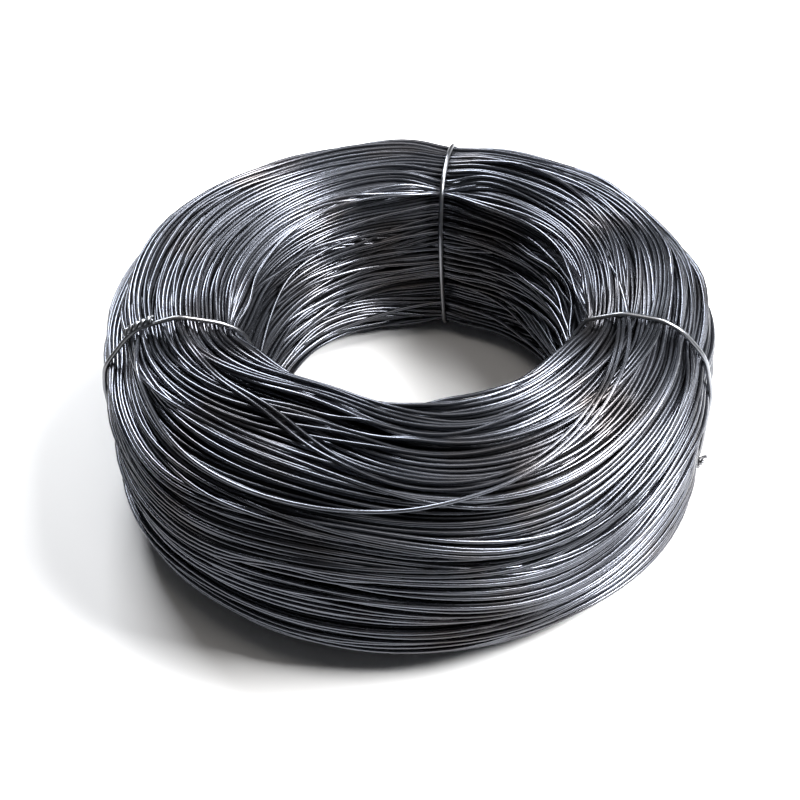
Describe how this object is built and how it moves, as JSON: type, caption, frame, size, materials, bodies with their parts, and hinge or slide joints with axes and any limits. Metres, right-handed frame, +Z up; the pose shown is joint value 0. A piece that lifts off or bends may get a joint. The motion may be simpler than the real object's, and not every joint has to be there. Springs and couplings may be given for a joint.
{
  "type": "coil of wire rod",
  "caption": "Round coil of dark annealed steel rod lying on its end, with an open bore, held by wire ties with twisted ends.",
  "frame": {"origin": "on the floor under the middle of the coil's bore", "axes": "+Z up along the bore's axis, +X towards the right tie's side, -Y towards the side that the coil is seen from"},
  "size_m": [0.8498, 0.8499, 0.3081],
  "materials": {
    "rod": "black annealed, dark oxide with a dull sheen",
    "tie": "soft tie wire, a little brighter than the rod"
  },
  "bodies": {
    "root": {"wire_coil": "rod", "tie_left": "tie", "tie_right": "tie", "tie_back": "tie"}
  },
  "joints": []
}
